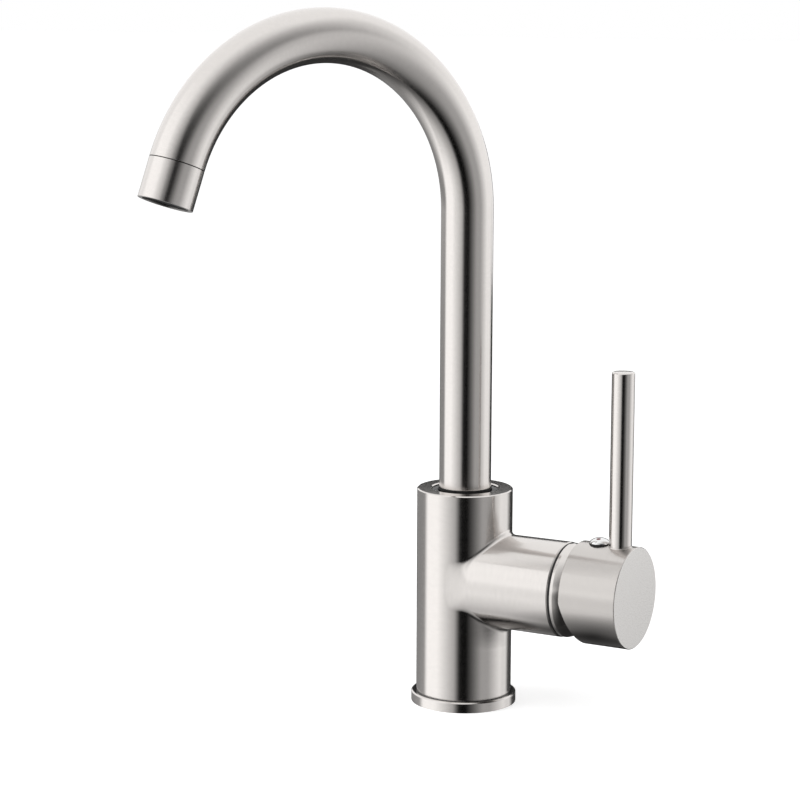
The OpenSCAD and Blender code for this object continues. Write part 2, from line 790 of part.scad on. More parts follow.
module bonnet_seal() {
    color(rubber) along_arm(arm_l)
        ring(arm_d / 2 - bonnet_seal_recess, nut_collar_d / 2 + seat_gap, bonnet_seal_t);
}

// A straight band and a dome about the handle's pivot, open where the cap's hub swings
module bonnet() {
    band_y = bonnet_x - pivot_x;
    thread_y = nut_top_x - pivot_x;
    reach = 2 * dome_r;
    color(nickel) along_arm(pivot_x) rotate_extrude() difference() {
        intersection() {
            circle(r = dome_r);
            translate([0, band_y]) square([bonnet_r, reach]);
        }
        intersection() {
            circle(r = dome_r - dome_wall);
            translate([0, thread_y]) square(reach);
        }
        translate([0, band_y - over])
            square([nut_collar_d / 2 + seat_gap, thread_y - band_y + 2 * over]);
        polygon([[0, 0], [reach * tan(dome_open_angle), reach], [0, reach]]);
    }
}

module handle_cap() {
    stem_hole = stem_w + 2 * seat_gap;
    color(nickel) difference() {
        along_arm(rim_x) rotate_extrude() polygon([
            [0, 0], [cap_d / 2 - cap_chamfer, 0], [cap_d / 2, cap_chamfer],
            [cap_d / 2, cap_l - cap_chamfer], [cap_d / 2 - cap_chamfer, cap_l], [0, cap_l]
        ]);
        difference() {
            along_arm(rim_x - over) cylinder(r = cap_d / 2 - cap_wall, h = cap_hollow + over);
            along_arm(hub_x) cylinder(d = hub_d, h = cap_hollow);
        }
        // The relief is a half space turned about the horizontal line across the rim
        translate([rim_x, 0, arm_z]) rotate([0, -cap_relief, 0])
            translate([-cap_d, -cap_d, -2 * cap_d]) cube([cap_d, 2 * cap_d, 2 * cap_d]);
        along_arm(hub_x - over) translate([-stem_w / 2 - seat_gap, -stem_w / 2 - seat_gap, 0])
            cube([stem_hole, stem_hole, stem_end_x + stem_end_gap - hub_x + over]);
        translate([lever_x, 0, arm_z + lever_seat_r]) cylinder(r = lever_d / 2 + seat_gap, h = cap_d);
        translate([lever_x, 0, arm_z + lever_seat_r - spigot_l - spigot_end_gap])
            cylinder(r = spigot_d / 2 + seat_gap, h = cap_d);
        translate([plug_x, 0, arm_z + hub_d / 2]) cylinder(r = plug_shank_d / 2 + seat_gap, h = cap_d);
        translate([plug_x, 0, arm_z]) cylinder(r = set_screw_d / 2 + seat_gap, h = cap_d);
    }
}

module lever_bar() {
    color(nickel) translate([lever_x, 0, arm_z + lever_seat_r]) {
        chamfered_bar(lever_d / 2, lever_l - lever_seat_r, lever_chamfer);
        translate([0, 0, -spigot_l]) cylinder(d = spigot_d, h = spigot_l + bite);
    }
}

module set_screw() {
    color(steel) translate([plug_x, 0, arm_z + stem_w / 2]) difference() {
        cylinder(d = set_screw_d, h = set_screw_l);
        translate([0, 0, set_screw_l / 2]) cylinder(d = hex_key_d, h = set_screw_l, $fn = 6);
    }
}

// The domed plug sits on the cap's round surface and its shank fills the access hole
module index_plug() {
    color(polished) {
        difference() {
            translate([plug_x, 0, arm_z + cap_d / 2 + plug_h - plug_sphere_r]) sphere(r = plug_sphere_r);
            along_arm(rim_x) cylinder(r = cap_d / 2 + seat_gap / 2, h = cap_l);
        }
        translate([plug_x, 0, arm_z + cap_d / 2 - plug_shank_l])
            cylinder(d = plug_shank_d, h = plug_shank_l + bite);
    }
}

body();
base_ring();
deck_seal();
spout_collar();
upper_slip_washer();
lower_slip_washer();
spout_foot();
spout_o_rings();
spout_guide_ring();
spout_tube();
outlet_nipple();
outlet_sleeve();
aerator_washer();
jet_disc();
aerator_screens();
aerator_cage();
cartridge_base();
port_seals();
fixed_disc();
cartridge_housing();
moving_disc();
disc_carrier();
cartridge_rotor();
stem_pin();
cartridge_stem();
cartridge_nut();
bonnet_seal();
bonnet();
handle_cap();
lever_bar();
set_screw();
index_plug();
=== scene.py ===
import json
import math

import bpy
from bpy.props import FloatProperty, FloatVectorProperty, PointerProperty
from mathutils import Matrix, Vector, kdtree


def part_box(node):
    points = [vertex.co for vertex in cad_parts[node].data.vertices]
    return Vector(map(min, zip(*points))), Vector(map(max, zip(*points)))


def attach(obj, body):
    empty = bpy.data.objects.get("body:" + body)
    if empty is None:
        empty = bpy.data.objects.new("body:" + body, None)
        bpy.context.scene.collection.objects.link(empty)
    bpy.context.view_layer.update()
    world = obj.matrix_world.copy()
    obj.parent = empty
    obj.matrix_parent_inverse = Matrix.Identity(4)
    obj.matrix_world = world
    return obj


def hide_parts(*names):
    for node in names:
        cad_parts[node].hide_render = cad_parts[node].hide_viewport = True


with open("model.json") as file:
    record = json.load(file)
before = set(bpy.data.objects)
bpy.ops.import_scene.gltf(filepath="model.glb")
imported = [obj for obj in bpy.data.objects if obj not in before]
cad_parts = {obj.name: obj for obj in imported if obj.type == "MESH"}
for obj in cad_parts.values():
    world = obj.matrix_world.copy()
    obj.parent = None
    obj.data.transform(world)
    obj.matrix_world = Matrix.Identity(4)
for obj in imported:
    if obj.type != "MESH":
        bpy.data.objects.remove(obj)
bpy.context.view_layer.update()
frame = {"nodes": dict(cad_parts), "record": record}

bl_info = {
    "name": "Gooseneck Faucet",
    "version": (1, 0, 0),
    "blender": (4, 5, 0),
    "location": "View3D > Sidebar > Faucet",
    "description": "Dresses the CAD frame of a side-lever gooseneck faucet in brushed nickel",
    "category": "Object",
}

BODY_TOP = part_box("body")[1].z
LEVER_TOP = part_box("lever_bar")[1].z
CAP_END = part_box("handle_cap")[1].x

MM = 0.001
AROUND, AROUND_SLIM = 192, 96  # facets round a broad piece and round a slim one
BROKEN_EDGE = 0.12 * MM  # width of the rounding that polishing leaves on an edge
FIT = 0.05 * MM  # play between pieces that sit in each other
NEAR = 0.02 * MM  # how far off a round wall a face of it may lie


def length(name, description, millimetres):
    """A size that the user may change, given in millimetres and kept in metres."""
    return FloatProperty(
        name=name, description=description, default=millimetres * MM, min=0, precision=5,
        unit="LENGTH", subtype="DISTANCE")


def angle(name, description, degrees):
    """An angle that the user may change, given in degrees."""
    return FloatProperty(
        name=name, description=description, default=math.radians(degrees), unit="ROTATION",
        subtype="ANGLE")


def colour(name, description, value):
    """A finish's colour, as linear red, green and blue."""
    return FloatVectorProperty(
        name=name, description=description, default=value, min=0, max=1, size=3, subtype="COLOR")


class BodySizes(bpy.types.PropertyGroup):
    """Sizes of the upright body, its arm and its base ring."""

    diameter: length("Body diameter", "Diameter of the upright body", 46.2)
    height: length("Body height", "Height of the body's top face", BODY_TOP / MM)
    foot_diameter: length("Foot diameter", "Diameter of the foot inside the base ring", 41)
    arm_diameter: length("Arm diameter", "Diameter of the handle's arm", 45.5)
    arm_length: length("Arm length", "From the body's axis to the arm's end", 55.5)
    arm_height: length("Arm height", "Height of the arm's axis", 61.8)
    chamfer: length("Edge chamfer", "Chamfer on the ends of body and arm", 0.5)
    fillet: length("Fillet", "Radius of the fillet at the arm's top and bottom", 2.5)
    blend: length("Blend", "How far the fillet reaches along the arm's sides", 13)
    ring_diameter: length("Ring diameter", "Diameter of the base ring", 51)
    ring_height: length("Ring height", "Height of the base ring", 5.1)
    ledge_height: length("Ledge height", "Height of the ring's ledge under the body", 3.3)
    ring_chamfer: length("Ring chamfer", "Chamfer on the base ring's top edge", 0.6)
    # The ring's ledge is painted near-black in a band this wide round the body: painted shade
    # where body and ring meet.
    ring_shade_band: length("Ring joint", "Width of the dark joint round the body", 1.3)
    socket_diameter: length("Socket diameter", "Bore in the body's top for the collar", 32.2)
    socket_floor: length("Socket floor", "Height of the seat under the spout's flange", 92.5)
    barrel_diameter: length("Barrel bore", "Bore for the barrel of the spout's foot", 26.56)
    barrel_floor: length("Barrel floor", "Height of the lower end of that bore", 75.1)
    pocket_diameter: length("Pocket diameter", "Bore in the arm for the cartridge", 34.7)
    pocket_floor: length("Pocket floor", "From the body's axis to the pocket's floor", 23.6)
    mouth_diameter: length("Mouth diameter", "Bore in the arm's end for the nut's thread", 39.7)
    mouth_floor: length("Mouth floor", "From the body's axis to the start of that thread", 48.78)


class SpoutSizes(bpy.types.PropertyGroup):
    """Sizes of the gooseneck spout and its outlet."""

    diameter: length("Tube diameter", "Outer diameter of the tube and the sleeve", 25)
    wall: length("Tube wall", "Wall of the tube", 1.2)
    foot: length("Tube foot", "Height of the tube's lower end", 97.1)
    bend_height: length("Bend height", "Height of the centre of the bend", 239.7)
    bend_radius: length("Bend radius", "Radius of the bend on the tube's centre line", 82.6)
    bend_angle: angle("Bend angle", "Angle of the bend", 160.3)
    heading: angle("Heading", "Direction of the spout from the arm's", 245.9)
    collar_top: length("Collar top", "Height of the collar's upper face", 104.7)
    collar_bottom: length("Collar bottom", "Height of the collar's lower face", 98.7)
    collar_bore: length("Collar bore", "Bore of the collar round the tube", 26.1)
    # The black lip round the tube's foot is painted shade: a black ring that stands in for the
    # dark foot of the tube in its recess.
    shade_lip: length("Wiper lip", "Thickness of the black lip round the tube's foot", 0.3)
    shade_lip_rise: length("Wiper rise", "Height of that lip above the body's top face", 0.6)
    sleeve_length: length("Sleeve length", "Length of the outlet sleeve", 18.4)
    sleeve_wall: length("Sleeve wall", "Wall of the outlet sleeve", 1.3)
    lip_height: length("Lip height", "Height of the lip that holds the aerator", 1.2)
    lip_width: length("Lip width", "Depth of that lip inward", 0.8)


class HandleSizes(bpy.types.PropertyGroup):
    """Sizes of the bonnet, the handle's cap, the lever and the index plug."""

    pivot: length("Pivot", "From the body's axis to the handle's pivot", 51.98)
    seal_thickness: length("Seal thickness", "Thickness of the black seal", 1.2)
    seal_recess: length("Seal recess", "Depth of the seal below the arm's surface", 0.45)
    band_diameter: length("Band diameter", "Diameter of the bonnet's straight band", 45)
    dome_radius: length("Dome radius", "Radius of the bonnet's dome about the pivot", 23.3)
    dome_wall: length("Dome wall", "Wall of the bonnet's dome", 1.6)
    bonnet_bore: length("Bonnet bore", "Bore of the bonnet on the nut's collar", 36.5)
    nut_top: length("Nut top", "From the body's axis to the nut's outer face", 59.98)
    dome_opening: angle("Dome opening", "Half angle of the opening in the dome", 45.1)
    rim: length("Rim", "From the body's axis to the cap's rim", 62)
    cap_diameter: length("Cap diameter", "Diameter of the handle's cap", 48.3)
    cap_wall: length("Cap wall", "Wall of the cap's skirt", 2.25)
    cap_hollow: length("Cap hollow", "Depth of the cap's hollow", 14.4)
    cap_chamfer: length("Cap chamfer", "Chamfer on the cap's edges", 0.3)
    lever_bead: length("Lever bead", "Width of the bead round the lever's foot", 0.3)
    relief: angle("Rim relief", "Slope of the lower half of the cap's rim", 16)
    hub_diameter: length("Hub diameter", "Diameter of the hub inside the cap", 16)
    hub: length("Hub", "From the body's axis to the hub's face", 66)
    lever_diameter: length("Lever diameter", "Diameter of the lever bar", 10.8)
    lever: length("Lever", "From the body's axis to the lever's axis", 82.5)
    lever_socket: length("Lever socket", "Depth of the lever's socket in the cap", 4.2)
    lever_chamfer: length("Lever chamfer", "Chamfer on the lever's tip", 0.5)
    plug: length("Plug", "From the body's axis to the index plug's axis", 72)
    plug_diameter: length("Plug diameter", "Diameter of the index plug", 10)
    plug_height: length("Plug height", "Height of the plug's dome above the cap", 2.9)
    dot_diameter: length("Dot diameter", "Diameter of the plug's hot and cold dots", 2.1)


class FinishColours(bpy.types.PropertyGroup):
    """Colours of the faucet's finishes."""

    nickel: colour("Nickel", "Brushed nickel of the outer pieces", (0.645, 0.617, 0.596))
    # Painted shade: the cap's nickel is a darker copy of the body's nickel.
    shaded_cap_nickel: colour("Cap nickel", "Brushed nickel of the handle's cap", (0.56, 0.535, 0.515))
    # Painted light: the cap end's nickel is a lighter copy of the body's nickel.
    lit_end_nickel: colour("End nickel", "Satin nickel of the cap's end", (0.88, 0.86, 0.84))
    # Painted shade: this near-black paints the socket's wall, the whole collar, a band of the
    # ring's ledge and the sleeve's end by the tube.
    bore: colour("Bore", "Unplated wall of the socket round the spout", (0.05, 0.05, 0.05))
    chrome: colour("Chrome", "Polished plating of the index plug", (0.72, 0.72, 0.72))
    brass: colour("Brass", "Turned brass of the inner pieces", (0.68, 0.49, 0.21))
    # Besides the seals, this black paints shade as the lip round the tube's foot and the band
    # round the plug's foot.
    rubber: colour("Rubber", "Black rubber of the seals", (0.006, 0.006, 0.006))
    white_plastic: colour("White plastic", "Slip washers, carrier and rotor", (0.80, 0.80, 0.76))
    outlet: colour("Outlet's inside", "Wall of the outlet round the aerator", (0.22, 0.215, 0.21))
    grey_plastic: colour(
        "Grey plastic", "Cartridge housing and aerator cage", (0.085, 0.086, 0.088))
    ceramic: colour("Ceramic", "Lapped discs of the cartridge", (0.83, 0.80, 0.72))
    steel: colour("Steel", "Pin, set screw and wire screens", (0.47, 0.47, 0.48))
    hot: colour("Hot dot", "Enamel of the hot dot", (0.13, 0.006, 0.008))
    cold: colour("Cold dot", "Enamel of the cold dot", (0.01, 0.03, 0.25))
    floor: colour("Floor", "Colour of the studio floor", (0.86, 0.86, 0.86))


# Shaping

def deselect():
    """Leaves object mode with nothing selected."""
    if bpy.context.object and bpy.context.object.mode != "OBJECT":
        bpy.ops.object.mode_set(mode="OBJECT")
    bpy.ops.object.select_all(action="DESELECT")


def pick(piece):
    """Selects one piece and makes it the active one."""
    deselect()
    piece.select_set(True)
    bpy.context.view_layer.objects.active = piece


def settle(piece, matrix=None):
    """Puts a piece in its place and applies that place to its mesh."""
    pick(piece)
    if matrix:
        piece.matrix_world = matrix
    bpy.ops.object.transform_apply(location=True, rotation=True, scale=True)
    return piece


def circle(name, radius, height, around):
    """Starts a piece as a level circle, left in edit mode to be drawn out."""
    deselect()
    bpy.ops.mesh.primitive_circle_add(vertices=around, radius=radius, location=(0, 0, height))
    piece = bpy.context.object
    piece.name = piece.data.name = name
    bpy.ops.object.transform_apply(location=True)
    bpy.ops.object.mode_set(mode="EDIT")
    bpy.ops.mesh.select_all(action="SELECT")
    return piece


def face_outward():
    """Turns all faces of the piece in edit mode outward and leaves that mode."""
    bpy.ops.mesh.select_all(action="SELECT")
    bpy.ops.mesh.normals_make_consistent(inside=False)
    bpy.ops.object.mode_set(mode="OBJECT")


def turned(name, profile, matrix=None, around=AROUND, closed=False):
    """A piece turned on a lathe, drawn out along a profile of (radius, height) from a circle."""
    radius, height = profile[0]
    piece = circle(name, radius, height, around)
    if not closed:
        bpy.ops.mesh.edge_face_add()
    for wide, high in profile[1:] + (profile[:1] if closed else []):
        bpy.ops.mesh.extrude_region_move(
            TRANSFORM_OT_translate={"value": (0, 0, high - height)})
        if abs(wide - radius) > 1e-9:
            ratio = wide / radius
            bpy.ops.transform.resize(value=(ratio, ratio, 1), center_override=(0, 0, high))
        radius, height = wide, high
    bpy.ops.mesh.select_all(action="SELECT")
    bpy.ops.mesh.remove_doubles(threshold=1e-7)
    face_outward()
    return settle(piece, matrix)


def apply_modifier(piece, kind, **settings):
    """Adds a modifier with these settings and applies it."""
    pick(piece)
    modifier = piece.modifiers.new(kind.title(), kind)
    for key, value in settings.items():
        setattr(modifier, key, value)
    bpy.ops.object.modifier_apply(modifier=modifier.name)


def join(piece, other, operation="UNION"):
    """Unites a piece with another and throws the other away."""
    apply_modifier(piece, "BOOLEAN", object=other, operation=operation, solver="EXACT")
    bpy.data.objects.remove(other)


def cut(piece, tool):
    """Cuts the tool's shape out of a piece and throws the tool away."""
    join(piece, tool, "DIFFERENCE")


def smooth(piece, degrees=30):
    """Shades a piece smooth, with its corners left sharp."""
    pick(piece)
    bpy.ops.object.shade_smooth_by_angle(angle=math.radians(degrees))


def break_edges(piece, width, degrees=30):
    """Rounds the sharp edges of a piece, as polishing does."""
    apply_modifier(
        piece, "BEVEL", width=width, segments=2, limit_method="ANGLE",
        angle_limit=math.radians(degrees), use_clamp_overlap=True)


def ease_edges(piece, width=BROKEN_EDGE, degrees=30):
    """Rounds the sharp edges of a piece and keeps the shading of its broad faces true."""
    break_edges(piece, width, degrees)
    smooth(piece, 35)
    apply_modifier(
        piece, "WEIGHTED_NORMAL", mode="FACE_AREA", weight=100, thresh=1e-7, keep_sharp=True)


def true_normals(piece, rounds, bead=None, tolerance=0.03 * MM):
    """Gives the corners of round faces the normals of the true cylinders and of the fillet.

    Each round is (point on axis, axis, radius). The other corners keep their smoothed normals.
    """
    mesh = piece.data
    normals = [Vector(corner.vector) for corner in mesh.corner_normals]
    arc = bead.tree() if bead else None
    for face in mesh.polygons:
        points = [mesh.vertices[index].co for index in face.vertices]
        for origin, axis, radius in rounds:
            spokes = [point - origin - axis * (point - origin).dot(axis) for point in points]
            if any(abs(spoke.length - radius) > tolerance for spoke in spokes):
                continue
            if abs(face.normal.dot(axis)) > 0.01:
                continue
            sign = 1 if face.normal.dot(spokes[0]) > 0 else -1
            for corner, spoke in zip(face.loop_indices, spokes):
                normals[corner] = spoke.normalized() * sign
            break
        else:
            for corner, point in zip(face.loop_indices, points if bead else []):
                _, index, gap = arc.find(point)
                if gap < tolerance and face.normal.dot(bead.normals[index]) > 0.8:
                    normals[corner] = bead.normals[index]
    mesh.normals_split_custom_set(normals)


def comb(piece, run):
    """Stores at each corner which way the brushing runs and its place along and round the piece.

    run takes a face's centre, its normal and a point on it, and gives (grain, brush).
    """
    mesh = piece.data
    for name in ("grain", "brush"):
        mesh.attributes.new(name, "FLOAT_VECTOR", "CORNER")
    grain, brush = mesh.attributes["grain"], mesh.attributes["brush"]
    for face in mesh.polygons:
        centre, normal = face.center.copy(), face.normal.copy()
        for corner in face.loop_indices:
            point = mesh.vertices[mesh.loops[corner].vertex_index].co
            grain.data[corner].vector, brush.data[corner].vector = run(centre, normal, point)


def round_run(origin, axis, radius):
    """Brushing that runs round a bar on that axis, as on a lathe."""
    across = axis.orthogonal().normalized()
    up = axis.cross(across)

    def run(centre, normal, point):
        offset = point - origin
        along = offset.dot(axis)
        spoke = offset - axis * along
        if abs(normal.dot(axis)) > 0.9 and spoke.length > 1e-6:
            turn = spoke / spoke.length
            return turn, (turn.dot(across), turn.dot(up), spoke.length)
        return axis, (offset.dot(across) / radius, offset.dot(up) / radius, along)

    return run


UPRIGHT = Vector((0, 0, 0)), Vector((0, 0, 1))  # origin and direction of the body's own axis


def arm_axis(sizes):
    """The axis of the arm and the cap, as an origin and a direction."""
    return Vector((0, 0, sizes.arm_height)), Vector((1, 0, 0))


def on_arm(sizes):
    """The place of a piece turned on the arm's axis, with its height along the arm."""
    return Matrix.Translation((0, 0, sizes.arm_height)) @ Matrix.Rotation(math.pi / 2, 4, "Y")


def on_outlet(spout):
    """The place of a piece turned on the outlet's axis, with its height along the flow."""
    return (
        Matrix.Rotation(spout.heading, 4, "Z")
        @ Matrix.Translation((spout.bend_radius, 0, spout.bend_height))
        @ Matrix.Rotation(spout.bend_angle, 4, "Y")
        @ Matrix.Translation((-spout.bend_radius, 0, 0)))


def dress(piece, body, nodes, slot, *finishes):
    """Gives a piece its finishes, or its slot's own, and its CAD body, and hides the CAD nodes
    that it stands for.
    """
    for name in finishes or [slot]:
        piece.data.materials.append(finish(name))
    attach(piece, body)
    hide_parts(*nodes)


class Bead:
    """The fillet between body and arm, as left by a ball that grows as it rolls to the sides."""

    def __init__(self, sizes):
        self.body, self.arm = sizes.diameter / 2, sizes.arm_diameter / 2
        self.height, self.fillet, self.blend = sizes.arm_height, sizes.fillet, sizes.blend
        self.places, self.normals = [], []

    def centre(self, turn):
        """The ball's centre and radius at a turn round the arm's axis."""
        rise, reach = math.cos(turn), math.sin(turn) ** 2
        plain = (self.body + self.fillet) ** 2 - reach * (self.arm + self.fillet) ** 2
        x = math.sqrt(plain + (self.blend * reach ** 3) ** 2)
        half = self.body - reach * self.arm
        left = x * x + reach * self.arm ** 2 - self.body ** 2
        ball = left / (half + math.sqrt(half * half + rise * rise * left))
        wide = self.arm + ball
        return Vector((x, wide * math.sin(turn), self.height + wide * rise)), ball

    def contacts(self, turn, under=0):
        """Where the ball touches the body and the arm, or as far as this under their faces."""
        centre, ball = self.centre(turn)
        share = (self.body - under) / (self.body + ball)
        radius = self.arm - under
        return (Vector((centre.x * share, centre.y * share, centre.z)),
                Vector((centre.x, radius * math.sin(turn), self.height + radius * math.cos(turn))))

    def corner(self, turn, under):
        """The point that lies as far as this under both faces."""
        y = (self.arm - under) * math.sin(turn)
        x = math.sqrt((self.body - under) ** 2 - y * y)
        return Vector((x, y, self.height + (self.arm - under) * math.cos(turn)))

    def section(self, turn, steps, under):
        """The bead's closed section, an arc and three buried corners, and the arc's normals."""
        centre, _ = self.centre(turn)
        first, last = (point - centre for point in self.contacts(turn))
        spread = first.angle(last)
        ways = []
        for step in range(steps + 1):
            share = step / steps
            way = first * math.sin((1 - share) * spread) + last * math.sin(share * spread)
            ways.append(way / math.sin(spread))
        in_body, in_arm = self.contacts(turn, under)
        points = [centre + way for way in ways] + [in_arm, self.corner(turn, under), in_body]
        return points, [-way.normalized() for way in ways]

    def solid(self, steps=16, rings=256, under=1.2 * MM, crowding=0.46):
        """A torus drawn to the bead's section all the way round, closer together at the sides."""
        deselect()
        count = steps + 4
        bpy.ops.mesh.primitive_torus_add(
            major_segments=rings, minor_segments=count, major_radius=self.arm,
            minor_radius=1 * MM)
        piece = bpy.context.object
        corners = piece.data.vertices
        for ring in range(rings):
            turn = math.tau * (ring + 0.5) / rings
            turn += crowding * math.sin(2 * turn)
            points, normals = self.section(turn, steps, under)
            self.places += points[:len(normals)]
            self.normals += normals
            for index, point in enumerate(points):
                corners[ring * count + index].co = point
        bpy.ops.object.mode_set(mode="EDIT")
        face_outward()
        return piece

    def tree(self):
        """The places on the arc, in a tree that finds the nearest."""
        tree = kdtree.KDTree(len(self.places))
        for index, place in enumerate(self.places):
            tree.insert(place, index)
        tree.balance()
        return tree


# Finishes

def fill(tree, node, inputs):
    """Links or sets the inputs of a node."""
    for key, value in inputs.items():
        if isinstance(value, bpy.types.NodeSocket):
            tree.links.new(value, node.inputs[key])
        else:
            node.inputs[key].default_value = value


def add_node(tree, kind, inputs=None, **settings):
    """Adds a node, sets its options and links or sets its inputs."""
    node = tree.nodes.new(kind)
    for key, value in settings.items():
        setattr(node, key, value)
    fill(tree, node, inputs or {})
    return node


def maths(tree, operation, *values):
    """What an operation makes of one, two or three values."""
    node = add_node(tree, "ShaderNodeMath", dict(enumerate(values)), operation=operation)
    return node.outputs[0]


def measured(tree, operation, place, other):
    """The distance between two vectors, or their product."""
    node = add_node(tree, "ShaderNodeVectorMath", {0: place, 1: other}, operation=operation)
    return node.outputs["Value"]


def varied(tree, value, low, high, start=0, end=1):
    """Goes from low to high while a value goes from start to end, and stays level outside."""
    node = add_node(
        tree, "ShaderNodeMapRange",
        {"Value": value, "From Min": start, "From Max": end, "To Min": low, "To Max": high})
    return node.outputs["Result"]


def blended(tree, factor, first, second):
    """A colour that goes from the first to the second with a factor."""
    node = add_node(
        tree, "ShaderNodeMix", {"Factor": factor, "A": first, "B": second}, data_type="RGBA")
    return node.outputs["Result"]


def tinted(tree, factor, base, swing):
    """A colour that swings about its base by a share, with a pattern."""
    dark, light = (
        [min(1, part * (1 + side * swing)) for part in base] + [1] for side in (-1, 1))
    return blended(tree, factor, dark, light)


def pattern(tree, vector, scale, detail):
    """A noise pattern on a vector, stretched by a scale for each of its three directions."""
    mapping = add_node(tree, "ShaderNodeMapping", {"Vector": vector, "Scale": scale})
    noise = add_node(
        tree, "ShaderNodeTexNoise",
        {"Vector": mapping.outputs["Vector"], "Scale": 1.0, "Detail": detail, "Roughness": 0.6})
    return noise.outputs["Fac"]


def relief(tree, height, strength, depth):
    """Fine bumps of a pattern's height."""
    node = add_node(
        tree, "ShaderNodeBump", {"Height": height, "Strength": strength, "Distance": depth})
    return node.outputs["Normal"]


def new_finish(name):
    """A material, its node tree and its shader."""
    material = bpy.data.materials.new(name)
    material.use_nodes = True
    return material, material.node_tree, material.node_tree.nodes["Principled BSDF"]


def brushed_metal(name, base, low, high, grain_strength, spread):
    """Metal with fine lines brushed round it, which draw its highlights out along it."""
    material, tree, shader = new_finish(name)
    brush, grain = (
        add_node(tree, "ShaderNodeAttribute", attribute_name=kind).outputs["Vector"]
        for kind in ("brush", "grain"))
    fine = pattern(tree, brush, (2.4, 2.4, 5200), 3.0)
    broad = pattern(tree, brush, (6, 6, 900), 2.0)
    lines = maths(tree, "MULTIPLY_ADD", fine, broad, 0.25)
    turned_grain = add_node(
        tree, "ShaderNodeVectorTransform", {"Vector": grain}, vector_type="VECTOR",
        convert_from="OBJECT", convert_to="WORLD")
    fill(tree, shader, {
        "Base Color": tinted(tree, lines, base, 0.09), "Metallic": 1,
        "Roughness": varied(tree, lines, low, high), "Anisotropic": spread,
        "Normal": relief(tree, fine, grain_strength, 0.02 * MM),
        "Tangent": turned_grain.outputs["Vector"]})
    return material


def even_finish(name, metallic, base, swing, low, high, scale, detail, strength, depth):
    """A finish with the same fine marks in all directions."""
    material, tree, shader = new_finish(name)
    place = add_node(tree, "ShaderNodeTexCoord").outputs["Object"]
    marks = pattern(tree, place, (scale, scale, scale), detail)
    fill(tree, shader, {
        "Base Color": tinted(tree, marks, base, swing), "Metallic": metallic,
        "Roughness": varied(tree, marks, low, high),
        "Normal": relief(tree, marks, strength, depth)})
    return material


def satin_metal(name, base, low, high, scale, strength):
    """Metal with an even satin or polished surface and faint machining marks."""
    return even_finish(name, 1, base, 0.04, low, high, scale, 3.0, strength, 0.02 * MM)


def moulded(name, base, low, high, scale=1400, strength=0.2):
    """Rubber, plastic or ceramic with the fine grain of its mould or of lapping."""
    return even_finish(name, 0, base, 0.08, low, high, scale, 2.0, strength, 0.03 * MM)


def plug_chrome(name, base, roughness):
    """Polished plating with a hot and a cold enamel dot on the sides of the plug."""
    scene = bpy.context.scene
    colours, handle = scene.faucet_colours, scene.faucet_handle
    material, tree, shader = new_finish(name)
    place = add_node(tree, "ShaderNodeTexCoord").outputs["Object"]
    top = scene.faucet_body.arm_height + handle.cap_diameter / 2 + handle.plug_height
    tint, metal = (*base, 1), 1
    for side, dot in ((-1, colours.hot), (1, colours.cold)):
        spot = (
            handle.plug + 0.2 * MM, side * handle.plug_diameter * 0.2, top - 0.25 * MM)
        gap = measured(tree, "DISTANCE", place, spot)
        inside = maths(tree, "LESS_THAN", gap, handle.dot_diameter / 2)
        tint = blended(tree, inside, tint, (*dot, 1))
        metal = maths(tree, "SUBTRACT", metal, inside)
    fill(tree, shader, {"Base Color": tint, "Metallic": metal, "Roughness": roughness})
    return material


# Each finish's kind, its colour, its lowest and highest roughness, and what else its kind takes.
FINISH_KINDS = {
    "brushed_nickel": (brushed_metal, "nickel", 0.14, 0.24, 0.05, 0.75),
    # Painted shade: a darker copy of the nickel for the handle's cap.
    "shaded_brushed_cap": (brushed_metal, "shaded_cap_nickel", 0.20, 0.30, 0.05, 0.9),
    # Painted light: a lighter copy of the nickel for the cap's end.
    "lit_satin_nickel": (satin_metal, "lit_end_nickel", 0.26, 0.29, 4000, 0.01),
    # Painted shade: near-black metal for recesses and joints.
    "painted_shade_metal": (satin_metal, "bore", 0.3, 0.4, 1500, 0.05),
    "outlet_bore": (satin_metal, "outlet", 0.3, 0.4, 1500, 0.05),
    "polished_nickel": (satin_metal, "nickel", 0.10, 0.16, 700, 0.03),
    "polished_chrome": (satin_metal, "chrome", 0.10, 0.16, 700, 0.03),
    "plug_chrome": (plug_chrome, "chrome", 0.06),
    "brass": (satin_metal, "brass", 0.22, 0.36, 1500, 0.1),
    "steel": (satin_metal, "steel", 0.25, 0.35, 1500, 0.1),
    "rubber": (moulded, "rubber", 0.55, 0.75),
    "white_plastic": (moulded, "white_plastic", 0.35, 0.5),
    "grey_plastic": (moulded, "grey_plastic", 0.4, 0.55),
    "ceramic": (moulded, "ceramic", 0.15, 0.25, 2500, 0.05),
}
FINISHES = {}


def finish(name):
    """The named finish, made when it is first asked for."""
    if name not in FINISHES:
        make, shade, *looks = FINISH_KINDS[name]
        FINISHES[name] = make(name, getattr(bpy.context.scene.faucet_colours, shade), *looks)
    return FINISHES[name]


# Pieces

# The stud's hole and the two inlets in the body's foot: x, y, radius and depth in millimetres.
PORTS = ((-11, 0, 3.32, 16), (6, -7.75, 4.46, 12), (6, 7.75, 4.46, 12))


